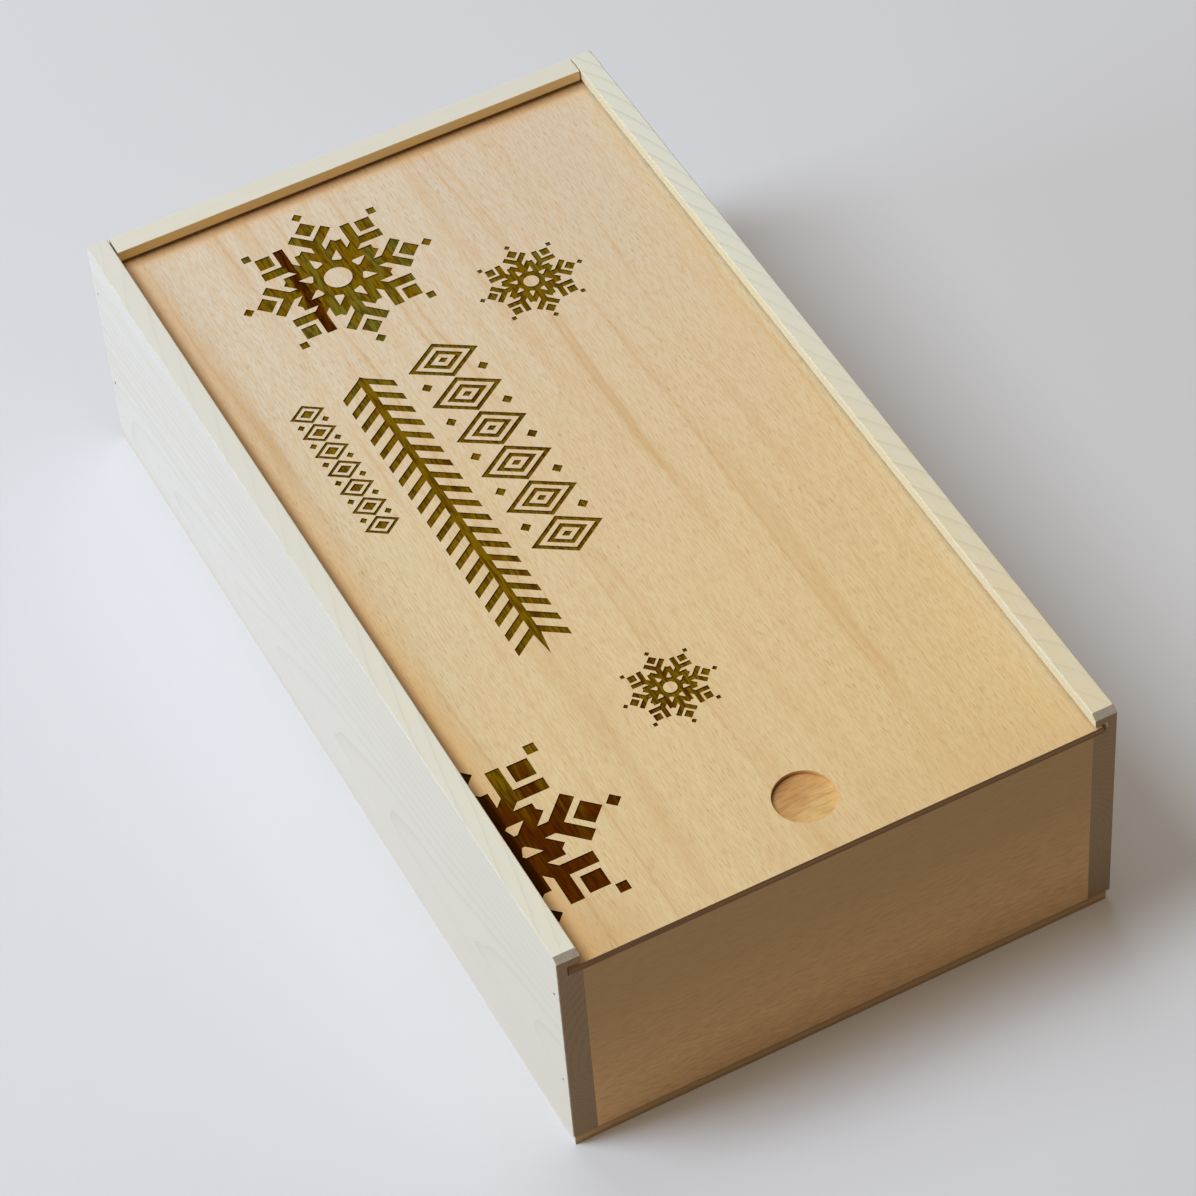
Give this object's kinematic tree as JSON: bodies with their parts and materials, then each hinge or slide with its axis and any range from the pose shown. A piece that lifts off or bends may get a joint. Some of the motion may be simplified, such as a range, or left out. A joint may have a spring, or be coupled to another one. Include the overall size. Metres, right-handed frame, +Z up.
{
  "type": "wooden gift box",
  "caption": "Flat wooden gift box of butt-jointed boards on a thin plywood bottom, with a plywood lid that slides out to the front in grooves and has a round finger recess.",
  "frame": {"origin": "middle of the underside, on the surface the box stands on", "axes": "+Z up, +Y towards the rear board (the lid slides out along -Y), +X to the right seen from the front"},
  "size_m": [0.2, 0.3614, 0.0971],
  "materials": {
    "side_wood": "planed and sanded pale limewood, unfinished",
    "end_wood": "planed and sanded boards with grain from side to side, unfinished",
    "base_ply": "thin plywood, unfinished",
    "lid_ply": "sanded beech plywood with shallow burnt engraving on the face",
    "nail_steel": "bright drawn wire"
  },
  "bodies": {
    "box": {"left_side": "side_wood", "right_side": "side_wood", "front_board": "end_wood", "rear_board": "end_wood", "base_under_ply": "base_ply", "base_core_ply": "base_ply", "base_top_ply": "base_ply", "corner_pins": "nail_steel", "base_brads": "nail_steel"},
    "lid": {"lid_back_ply": "lid_ply", "lid_core_ply": "lid_ply", "lid_face_ply": "lid_ply"}
  },
  "joints": [
    {"name": "lid_slide", "type": "slide", "parent": "box", "child": "lid", "axis": [0, -1, 0], "range_m": [0, 0.35]}
  ]
}
